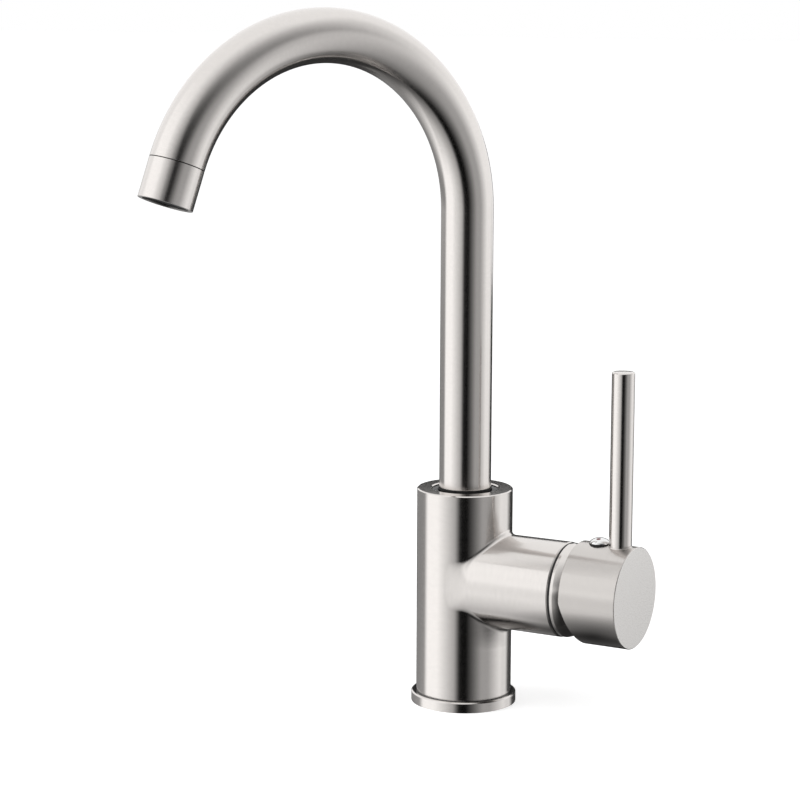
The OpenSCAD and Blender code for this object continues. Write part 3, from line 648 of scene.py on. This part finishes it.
class FAUCET_OT_body(bpy.types.Operator):
    """Makes the upright body with its arm, its fillet and its bores"""

    bl_idname = "faucet.body"
    bl_label = "Body"

    def execute(self, context):
        sizes = context.scene.faucet_body
        radius, arm_radius = sizes.diameter / 2, sizes.arm_diameter / 2
        foot, ledge, top = sizes.foot_diameter / 2, sizes.ledge_height, sizes.height
        edge = sizes.chamfer
        body = turned("faucet_body", [
            (foot, 0), (foot, ledge), (radius, ledge), (radius, top - edge),
            (radius - edge, top)])
        arm = turned("arm", [
            (arm_radius, 0), (arm_radius, sizes.arm_length - edge),
            (arm_radius - edge, sizes.arm_length)], on_arm(sizes))
        join(body, arm)
        bead = Bead(sizes)
        join(body, bead.solid())
        socket, barrel, past = sizes.socket_diameter / 2, sizes.barrel_diameter / 2, 1 * MM
        cut(body, turned("socket", [
            (barrel, sizes.barrel_floor), (barrel, sizes.socket_floor),
            (socket, sizes.socket_floor), (socket, top - edge), (socket + edge, top),
            (socket + edge, top + past)]))
        pocket, mouth = sizes.pocket_diameter / 2, sizes.mouth_diameter / 2
        cut(body, turned("pocket", [
            (pocket, sizes.pocket_floor), (pocket, sizes.mouth_floor),
            (mouth, sizes.mouth_floor), (mouth, sizes.arm_length + past)], on_arm(sizes)))
        for x, y, bore, depth in PORTS:
            cut(body, turned(
                "port", [(bore * MM, -past), (bore * MM, depth * MM)],
                Matrix.Translation((x * MM, y * MM, 0)), around=48))
        smooth(body, 20)
        along_arm = arm_axis(sizes)
        true_normals(body, [
            (*UPRIGHT, radius), (*along_arm, arm_radius), (*UPRIGHT, socket),
            (*UPRIGHT, foot)], bead)
        round_body = round_run(*UPRIGHT, radius)
        round_arm = round_run(*along_arm, arm_radius)

        def run(centre, normal, point):
            on_body = centre.xy.length < radius + NEAR
            return (round_body if on_body else round_arm)(centre, normal, point)

        comb(body, run)
        dress(body, "faucet_body", ["body"], "brushed_nickel",
              "brushed_nickel", "polished_nickel", "painted_shade_metal")
        rim = top - 0.7 * MM
        for face in body.data.polygons:
            if face.normal.z > 0.5 and face.center.z > rim:
                face.material_index = 1
            # The socket's wall, seat and barrel get the near-black finish: painted shade in the
            # recess round the spout.
            elif face.center.xy.length < socket + NEAR and face.center.z > sizes.barrel_floor:
                face.material_index = 2
        return {"FINISHED"}


class FAUCET_OT_base_ring(bpy.types.Operator):
    """Makes the ring that the body stands in"""

    bl_idname = "faucet.base_ring"
    bl_label = "Base ring"

    def execute(self, context):
        sizes = context.scene.faucet_body
        outer, high, edge = sizes.ring_diameter / 2, sizes.ring_height, sizes.ring_chamfer
        inner, foot, ledge = sizes.diameter / 2, sizes.foot_diameter / 2, sizes.ledge_height
        shaded_joint = inner + sizes.ring_shade_band
        ring = turned("base_ring_turned", [
            (foot + FIT, 0), (outer, 0), (outer, high - edge), (outer - edge, high), (shaded_joint, high),
            (inner + FIT, high), (inner + FIT, ledge), (foot + FIT, ledge)], closed=True)
        ease_edges(ring)
        comb(ring, round_run(*UPRIGHT, outer))
        dress(ring, "faucet_body", ["base_ring"], "brushed_nickel", "brushed_nickel", "painted_shade_metal")
        # A band of the ledge round the body gets the near-black finish: painted shade where body
        # and ring meet.
        for face in ring.data.polygons:
            face.material_index = int(
                face.center.z > ledge and face.center.xy.length < shaded_joint)
        return {"FINISHED"}


class FAUCET_OT_spout_collar(bpy.types.Operator):
    """Makes the collar that keeps the spout in the body's top, dressed all over in near-black
    painted shade, and the black lip round the tube, painted shade at its foot
    """

    bl_idname = "faucet.spout_collar"
    bl_label = "Spout collar"

    def execute(self, context):
        sizes, spout = context.scene.faucet_body, context.scene.faucet_spout
        outer, inner = sizes.socket_diameter / 2 - FIT, spout.collar_bore / 2
        collar = turned("spout_collar_turned", [
            (inner, spout.collar_bottom), (outer, spout.collar_bottom),
            (outer, spout.collar_top), (inner, spout.collar_top)], closed=True)
        ease_edges(collar, 0.2 * MM)
        comb(collar, round_run(*UPRIGHT, outer))
        # The collar is dressed only in the near-black finish: painted shade in the recess round
        # the tube.
        dress(collar, "faucet_body", ["spout_collar"], "brushed_nickel", "painted_shade_metal")
        # The black lip is painted shade: a ring of black rubber that stands in for the dark foot
        # of the tube in its recess.
        snug = spout.diameter / 2 + 0.03 * MM
        lip, foot, top = snug + spout.shade_lip, spout.collar_top, sizes.height + spout.shade_lip_rise
        shade_lip_piece = turned(
            "spout_shade_lip", [(snug, foot), (lip, foot), (lip, top), (snug, top)], closed=True)
        ease_edges(shade_lip_piece, 0.15 * MM)
        dress(shade_lip_piece, "faucet_body", [], "rubber")
        return {"FINISHED"}


class FAUCET_OT_spout(bpy.types.Operator):
    """Makes the gooseneck tube, drawn up the riser and spun round its bend"""

    bl_idname = "faucet.spout"
    bl_label = "Spout tube"

    def execute(self, context):
        spout = context.scene.faucet_spout
        radius, edge = spout.diameter / 2, 0.18 * MM
        tube = circle("spout_tube_bent", radius, spout.foot, 128)
        bpy.ops.mesh.extrude_region_move(
            TRANSFORM_OT_translate={"value": (0, 0, spout.bend_height - spout.foot)})
        centre = Vector((spout.bend_radius, 0, spout.bend_height))
        bend = spout.bend_angle - edge / spout.bend_radius
        bpy.ops.mesh.spin(steps=120, angle=-bend, center=centre, axis=(0, 1, 0))
        lean = Matrix.Rotation(spout.bend_angle, 3, "Y")
        end = centre + lean @ Vector((-spout.bend_radius, 0, 0))
        bpy.ops.mesh.extrude_region_move(
            TRANSFORM_OT_translate={"value": lean @ Vector((0, 0, 1)) * edge})
        ratio = (radius - edge) / radius
        bpy.ops.transform.resize(value=(ratio, ratio, ratio), center_override=end)
        face_outward()
        apply_modifier(tube, "SOLIDIFY", thickness=spout.wall, offset=-1, use_even_offset=True)
        smooth(tube)

        def run(middle, normal, point):
            reach = spout.bend_radius - point.x
            rise = point.z - spout.bend_height
            if rise <= 0 and reach > 0:
                return Vector((0, 0, 1)), (point.x / radius, point.y / radius, point.z)
            turn = math.atan2(rise, reach)
            out = math.hypot(rise, reach) - spout.bend_radius
            along = spout.bend_height + turn * spout.bend_radius
            grain = Vector((math.sin(turn), 0, math.cos(turn)))
            return grain, (-out / radius, point.y / radius, along)

        comb(tube, run)
        turn = Matrix.Rotation(spout.heading, 4, "Z")
        settle(tube, turn)
        for entry in tube.data.attributes["grain"].data:
            entry.vector = turn.to_3x3() @ Vector(entry.vector)
        dress(tube, "spout", ["spout_tube"], "brushed_nickel")
        return {"FINISHED"}


class FAUCET_OT_outlet(bpy.types.Operator):
    """Makes the outlet sleeve that holds the aerator"""

    bl_idname = "faucet.outlet"
    bl_label = "Outlet sleeve"

    def execute(self, context):
        spout = context.scene.faucet_spout
        outer, far = spout.diameter / 2, spout.sleeve_length
        bore = outer - spout.sleeve_wall
        lip = bore - spout.lip_width
        lip_top = far - spout.lip_height
        shaded_joint, place = 0.3 * MM, on_outlet(spout)
        sleeve = turned("outlet_sleeve_turned", [
            (bore, 0), (outer - shaded_joint, 0), (outer, shaded_joint), (outer, far), (lip, far),
            (lip, lip_top), (bore, lip_top)], place, closed=True)
        ease_edges(sleeve, degrees=50)
        axis = (place.to_3x3() @ Vector((0, 0, 1))).normalized()
        comb(sleeve, round_run(place.translation, axis, outer))
        dress(sleeve, "spout", ["outlet_sleeve"], "brushed_nickel",
              "brushed_nickel", "painted_shade_metal", "outlet_bore")
        # The sleeve's chamfer and end face by the tube get the near-black finish: painted shade in
        # the joint.
        for face in sleeve.data.polygons:
            spoke = face.center - place.translation
            along = spoke.dot(axis)
            spoke -= axis * along
            inside = spoke.length < bore + FIT and abs(face.normal.dot(axis)) < 0.7
            face.material_index = 1 if along < shaded_joint else 2 * int(inside)
        return {"FINISHED"}


class FAUCET_OT_bonnet(bpy.types.Operator):
    """Makes the bonnet with its domed face, and the black seal behind it"""

    bl_idname = "faucet.bonnet"
    bl_label = "Bonnet and seal"

    def execute(self, context):
        sizes, handle = context.scene.faucet_body, context.scene.faucet_handle
        start = sizes.arm_length
        back = start + handle.seal_thickness
        bore, outer = handle.bonnet_bore / 2, sizes.arm_diameter / 2 - handle.seal_recess
        seal = turned("bonnet_seal_cut", [
            (bore, start), (outer, start), (outer, back), (bore, back)],
            on_arm(sizes), closed=True)
        ease_edges(seal, 0.1 * MM)
        dress(seal, "faucet_body", ["bonnet_seal"], "rubber")

        def arc(radius, first, last, steps=24):
            leans = [first + (last - first) * step / steps for step in range(steps + 1)]
            return [(radius * math.sin(lean), handle.pivot + radius * math.cos(lean))
                    for lean in leans]

        band, dome, opening = handle.band_diameter / 2, handle.dome_radius, handle.dome_opening
        inside = dome - handle.dome_wall
        seat = math.acos((handle.nut_top - handle.pivot) / inside)
        bonnet = turned("bonnet_turned", [
            (bore, back), (band, back), *arc(dome, math.asin(band / dome), opening),
            *arc(inside, opening, seat), (bore, handle.nut_top)], on_arm(sizes), closed=True)
        ease_edges(bonnet, degrees=12)
        comb(bonnet, round_run(*arm_axis(sizes), band))
        dress(bonnet, "faucet_body", ["bonnet"], "brushed_nickel")
        return {"FINISHED"}


class FAUCET_OT_handle_cap(bpy.types.Operator):
    """Makes the handle's cap, its hollow with the hub, and the lower half of its rim cut back"""

    bl_idname = "faucet.handle_cap"
    bl_label = "Handle cap"

    def execute(self, context):
        sizes, handle = context.scene.faucet_body, context.scene.faucet_handle
        outer, edge = handle.cap_diameter / 2, handle.cap_chamfer
        inner, hub = outer - handle.cap_wall, handle.hub_diameter / 2
        floor = handle.rim + handle.cap_hollow
        cap = turned("handle_cap_turned", [
            (hub, handle.hub), (hub, floor), (inner, floor), (inner, handle.rim),
            (outer - edge, handle.rim), (outer, handle.rim + edge),
            (outer, CAP_END - edge), (outer - edge, CAP_END)], on_arm(sizes))
        deselect()
        wide = 100 * MM
        bpy.ops.mesh.primitive_cube_add(size=wide)
        hinge = Matrix.Translation((handle.rim, 0, sizes.arm_height))
        lean = Matrix.Rotation(-handle.relief, 4, "Y")
        cut(cap, settle(
            bpy.context.object, hinge @ lean @ Matrix.Translation((-wide / 2, 0, -wide / 2))))
        crown = sizes.arm_height + outer
        seat, bore = crown - handle.lever_socket, handle.lever_diameter / 2 + FIT
        cut(cap, turned("lever_hole", [(bore, seat), (bore, crown + 5 * MM)],
                        Matrix.Translation((handle.lever, 0, 0)), AROUND_SLIM))
        smooth(cap, 20)
        axis = arm_axis(sizes)
        true_normals(cap, [(*axis, outer), (*axis, inner), (*axis, hub)])
        comb(cap, round_run(*axis, outer))
        # The cap takes a darker copy of the nickel, painted shade, and its end a lighter copy,
        # painted light.
        dress(cap, "handle", ["handle_cap"], "brushed_nickel", "shaded_brushed_cap", "lit_satin_nickel")
        for face in cap.data.polygons:
            face.material_index = int(face.normal.x > 0.9)
        return {"FINISHED"}


class FAUCET_OT_lever(bpy.types.Operator):
    """Makes the straight lever bar"""

    bl_idname = "faucet.lever"
    bl_label = "Lever bar"

    def execute(self, context):
        sizes, handle = context.scene.faucet_body, context.scene.faucet_handle
        radius, edge = handle.lever_diameter / 2, handle.lever_chamfer
        cap, bead, sunk = handle.cap_diameter / 2, handle.lever_bead, radius - 0.2 * MM
        crown = sizes.arm_height + cap
        place = Matrix.Translation((handle.lever, 0, 0))
        bar = turned("lever_bar_turned", [
            (radius, crown - handle.lever_socket), (radius, LEVER_TOP - edge),
            (radius - edge, LEVER_TOP)], place, AROUND_SLIM)
        break_edges(bar, 0.15 * MM)
        foot = turned("lever_foot", [
            (sunk, crown - bead), (radius + bead, crown - bead),
            (radius + bead, crown + 0.2 * bead), (radius + 0.6 * bead, crown + 0.8 * bead),
            (sunk, crown + bead)], place, AROUND_SLIM, closed=True)
        for vertex in foot.data.vertices:
            vertex.co.z += math.sqrt(cap ** 2 - vertex.co.y ** 2) - cap
        join(bar, foot)
        smooth(bar, 35)
        axis = place.translation, Vector((0, 0, 1))
        true_normals(bar, [(*axis, radius)])
        comb(bar, round_run(*axis, radius))
        dress(bar, "handle", ["lever_bar"], "brushed_nickel")
        return {"FINISHED"}


class FAUCET_OT_index_plug(bpy.types.Operator):
    """Makes the domed plug with its hot and cold dots, and a black band of painted shade at its
    foot
    """

    bl_idname = "faucet.index_plug"
    bl_label = "Index plug"

    def execute(self, context):
        sizes, handle = context.scene.faucet_body, context.scene.faucet_handle
        half, rise = handle.plug_diameter / 2, handle.plug_height
        rim = sizes.arm_height + handle.cap_diameter / 2
        skirt, shaded_joint, steps = rim - 1.2 * MM, rim + 0.4 * MM, 32
        profile = [(half, skirt)]
        for step in range(steps):
            lean = math.pi / 2 * step / steps
            profile.append((half * math.cos(lean), rim + rise * math.sin(lean)))
        plug = turned("index_plug_domed", profile,
                      Matrix.Translation((handle.plug, 0, 0)), AROUND_SLIM)
        smooth(plug, 50)
        dress(plug, "handle", ["index_plug"], "polished_chrome", "plug_chrome", "rubber")
        # The band at the plug's foot gets black rubber: painted shade round the plug's foot.
        for face in plug.data.polygons:
            face.material_index = int(face.center.z < shaded_joint)
        return {"FINISHED"}


class FAUCET_OT_inner_pieces(bpy.types.Operator):
    """Gives every CAD piece that stays its finish"""

    bl_idname = "faucet.inner_pieces"
    bl_label = "Inner pieces"

    def execute(self, context):
        slots = {part["node"]: part["material_slot"] for part in frame["record"]["subparts"]}
        for name, piece in frame["nodes"].items():
            if piece.hide_render:
                continue
            piece.data.materials.clear()
            piece.data.materials.append(finish(slots[name]))
        return {"FINISHED"}


# Studio

VIEW_AZIMUTH = math.radians(29.446)
CAMERA_PLACE = (0.55251, -1.04298, 0.34286)
CAMERA_TARGET = (-0.027512, -0.015532, 0.148149)
CAMERA_ROLL = math.radians(0.23)
CAMERA_LENS, CAMERA_SENSOR = 112.05, 36  # both in millimetres
FLOOR_SIZE = (30, 30)

LAMP_TARGET = Vector((0, 0, 0.15))
LAMPS = (
    # name, place, size, power
    ("key_lamp", (-0.9, -0.9, 1.5), (1.2, 1.2), 12),
    ("fill_lamp", (1.2, -0.7, 1.1), (1.0, 1.4), 7),
)
BACKDROPS = (
    # name, size, place to the right of the faucet, behind it and above the deck, level
    ("dark_backdrop", (0.6, 0.58), (0.1, 0.9, 0), 0.05),
    ("dark_low_backdrop", (0.36, 0.19), (0.08, 0.25, 0.075), 0.04),
)
CARD_SIZE, CARD_PLACE = (0.16, 0.16), (0.07, -0.015, 0.03)
CARD_LEVEL, CARD_COVER, CARD_REACH = 0.02, 0.97, 0.05

# What polished metal mirrors in the studio, by the angle to the right of the camera and the
# angle above the horizon, in degrees. Each panel comes in between the first two angles, goes
# out between the last two, and its level is a share of white. CEILING is the level elsewhere.
NO_START, NO_END = (-400, -399), (399, 400)
CEILING = 1.2
PANELS = (
    # name, across, upright, level
    ("table", (*NO_START, 104, 118), (*NO_START, -8, 8), 0.30),
    ("front_table", (-100, -80, 20, 60), (*NO_START, -8, 8), 0.22),
    ("table_near", (*NO_START, *NO_END), (*NO_START, -75, -40), 0.10),
    ("left_floor_glow", (-150, -112, -104, -88), (-85, -50, -30, -12), 0.95),
    ("left_softbox", (-114, -102, -70, -8), (-82, -22, 30, 62), 1.45),
    ("right_grey_wall", (4, 42, 100, 125), (-80, -18, 20, 60), 0.5),
    ("right_softbox", (60, 96, 124, 134), (-52, -8, 10, 45), 1.25),
    ("right_floor", (98, 112, *NO_END), (*NO_START, -55, -8), 0.12),
    ("right_rear_table", (120, 134, *NO_END), (*NO_START, -13, -5), 0.04),
    ("upper_haze", (-55, 5, 30, 95), (5, 20, 28, 80), 0.15),
    ("camera_flag", (-24, -12, 4, 42), (*NO_START, 2, 30), 0.0),
    ("upper_flag", (-5, 4, 12, 42), (-2, 12, 14, 50), 0.0),
)


def flat(name, size):
    """A level sheet in the middle of the deck plane."""
    deselect()
    bpy.ops.mesh.primitive_plane_add(size=1)
    sheet = bpy.context.object
    sheet.name = sheet.data.name = name
    sheet.scale = (*size, 1)
    return settle(sheet)


def softbox(name, place, size, power):
    """A rectangular soft lamp aimed at the faucet, which lights its matt pieces and the floor."""
    deselect()
    bpy.ops.object.light_add(type="AREA", location=place)
    lamp = bpy.context.object
    lamp.name = lamp.data.name = name
    lamp.data.shape = "RECTANGLE"
    lamp.data.size, lamp.data.size_y = size
    lamp.data.energy = power
    lamp.visible_camera = lamp.visible_glossy = False
    lamp.rotation_mode = "QUATERNION"
    lamp.rotation_quaternion = (LAMP_TARGET - lamp.location).to_track_quat("-Z", "Y")


def mirrored_card(name, size, matrix, level, cover=1, clear_from=5, clear_to=6):
    """A dark card that only the metal mirrors, clear beyond a distance from its middle."""
    card = settle(flat(name, size), matrix)
    material, tree, shader = new_finish(name)
    tree.nodes.remove(shader)
    place = add_node(tree, "ShaderNodeTexCoord").outputs["Object"]
    gap = measured(tree, "DISTANCE", place, matrix.translation)
    glow = add_node(tree, "ShaderNodeEmission", {"Strength": level})
    clear = add_node(tree, "ShaderNodeBsdfTransparent")
    mix = add_node(tree, "ShaderNodeMixShader", {
        0: varied(tree, gap, 1 - cover, 1, clear_from, clear_to),
        1: glow.outputs["Emission"], 2: clear.outputs["BSDF"]})
    fill(tree, tree.nodes["Material Output"], {"Surface": mix.outputs["Shader"]})
    card.data.materials.append(material)
    card.visible_camera = card.visible_diffuse = card.visible_shadow = False
    card.visible_transmission = False


def ramp_mask(tree, value, edges):
    """A mask that comes in between the first two edges and goes out between the last two."""
    return maths(
        tree, "MULTIPLY", varied(tree, value, 0, 1, *edges[:2]),
        varied(tree, value, 1, 0, *edges[2:]))


def mirrored_level(tree):
    """The level of the studio's panels in each direction, as the metal mirrors them."""
    way = add_node(tree, "ShaderNodeTexCoord").outputs["Generated"]
    side, front = math.cos(VIEW_AZIMUTH), math.sin(VIEW_AZIMUTH)
    rightward = measured(tree, "DOT_PRODUCT", way, (side, front, 0))
    forward = measured(tree, "DOT_PRODUCT", way, (front, -side, 0))
    across = maths(tree, "DEGREES", maths(tree, "ARCTAN2", rightward, forward))
    rise = add_node(tree, "ShaderNodeSeparateXYZ", {"Vector": way}).outputs["Z"]
    above = maths(tree, "DEGREES", maths(tree, "ARCSINE", rise))
    level = CEILING
    for name, sideways, lengthways, shade in PANELS:
        mask = maths(
            tree, "MULTIPLY", ramp_mask(tree, across, sideways),
            ramp_mask(tree, above, lengthways))
        panel = add_node(
            tree, "ShaderNodeMix", {"Factor": mask, "A": level, "B": shade}, label=name)
        level = panel.outputs["Result"]
    return level


class FAUCET_OT_stage(bpy.types.Operator):
    """Sets up the pale studio: floor, background, lamps and camera"""

    bl_idname = "faucet.stage"
    bl_label = "Studio"

    def execute(self, context):
        scene = context.scene
        scene.view_settings.view_transform = "Standard"
        self.floor(scene.faucet_colours.floor)
        self.background(scene)
        for lamp in LAMPS:
            softbox(*lamp)
        self.cards()
        self.camera(scene)
        return {"FINISHED"}

    def cards(self):
        """The dark card under the handle and the dark backdrops, as the metal sees them."""
        mirrored_card(
            "dark_card_under_the_cap", CARD_SIZE, Matrix.Translation(CARD_PLACE), CARD_LEVEL,
            CARD_COVER, 0, CARD_REACH)
        towards = Matrix.Rotation(VIEW_AZIMUTH, 4, "Z")
        stood_up = Matrix.Rotation(math.pi / 2, 4, "X")
        for name, size, place, level in BACKDROPS:
            mirrored_card(name, size, towards @ Matrix.Translation(place) @ stood_up, level)

    def floor(self, shade):
        """A wide pale floor that keeps the faucet's shadow."""
        floor = flat("studio_floor", FLOOR_SIZE)
        material, tree, shader = new_finish("studio_floor")
        path = add_node(tree, "ShaderNodeLightPath")
        fill(tree, shader, {
            "Base Color": (*shade, 1), "Roughness": 0.9, "Emission Color": (1, 1, 1, 1),
            "Emission Strength": maths(tree, "MULTIPLY", path.outputs["Is Camera Ray"], 0.5)})
        floor.data.materials.append(material)
        floor.visible_glossy = False

    def background(self, scene):
        """A background that shows white and lights the faucet at a plain level."""
        world = bpy.data.worlds.new("studio")
        scene.world = world
        world.use_nodes = True
        tree = world.node_tree
        path = add_node(tree, "ShaderNodeLightPath")
        seen = maths(
            tree, "MAXIMUM", path.outputs["Is Camera Ray"], path.outputs["Is Transmission Ray"])
        level = add_node(
            tree, "ShaderNodeMix",
            {"Factor": path.outputs["Is Glossy Ray"], "A": varied(tree, seen, 0.6, 1),
             "B": mirrored_level(tree)})
        fill(tree, tree.nodes["Background"], {
            "Color": (1, 1, 1, 1), "Strength": level.outputs["Result"]})

    def camera(self, scene):
        """The camera at the photograph's place and angle."""
        data = bpy.data.cameras.new("camera")
        data.lens, data.sensor_width = CAMERA_LENS, CAMERA_SENSOR
        data.clip_start, data.clip_end = 0.05, 60
        camera = bpy.data.objects.new("camera", data)
        scene.collection.objects.link(camera)
        camera.location = CAMERA_PLACE
        camera.rotation_mode = "QUATERNION"
        look = (Vector(CAMERA_TARGET) - Vector(CAMERA_PLACE)).to_track_quat("-Z", "Y")
        camera.rotation_quaternion = look @ Matrix.Rotation(CAMERA_ROLL, 3, "Z").to_quaternion()
        scene.camera = camera


# The groups of sizes and colours, by the names that they have on the scene.
GROUPS = {
    "faucet_body": BodySizes, "faucet_spout": SpoutSizes, "faucet_handle": HandleSizes,
    "faucet_colours": FinishColours}
PIECE_OPERATORS = (
    FAUCET_OT_body, FAUCET_OT_base_ring, FAUCET_OT_spout_collar, FAUCET_OT_spout,
    FAUCET_OT_outlet, FAUCET_OT_bonnet, FAUCET_OT_handle_cap, FAUCET_OT_lever,
    FAUCET_OT_index_plug, FAUCET_OT_inner_pieces, FAUCET_OT_stage)


class FAUCET_PT_panel(bpy.types.Panel):
    """Lists the faucet's sizes, colours and pieces"""

    bl_idname = "FAUCET_PT_panel"
    bl_label = "Gooseneck Faucet"
    bl_space_type = "VIEW_3D"
    bl_region_type = "UI"
    bl_category = "Faucet"

    def draw(self, context):
        for name in GROUPS:
            box, group = self.layout.box(), getattr(context.scene, name)
            for key in group.__annotations__:
                box.prop(group, key)
        for operator in PIECE_OPERATORS:
            self.layout.operator(operator.bl_idname)


CLASSES = (*GROUPS.values(), *PIECE_OPERATORS, FAUCET_PT_panel)


def register():
    """Registers the classes and hangs the sizes and colours on the scene."""
    for kind in CLASSES:
        bpy.utils.register_class(kind)
    for name, group in GROUPS.items():
        setattr(bpy.types.Scene, name, PointerProperty(type=group))


def unregister():
    """Takes the sizes and colours off the scene and unregisters the classes."""
    for name in GROUPS:
        delattr(bpy.types.Scene, name)
    for kind in reversed(CLASSES):
        bpy.utils.unregister_class(kind)


def main():
    """Builds the whole dressed faucet and its studio."""
    register()
    bpy.ops.faucet.body()
    bpy.ops.faucet.base_ring()
    bpy.ops.faucet.spout_collar()
    bpy.ops.faucet.spout()
    bpy.ops.faucet.outlet()
    bpy.ops.faucet.bonnet()
    bpy.ops.faucet.handle_cap()
    bpy.ops.faucet.lever()
    bpy.ops.faucet.index_plug()
    bpy.ops.faucet.inner_pieces()
    bpy.ops.faucet.stage()


if __name__ == "__main__":
    main()
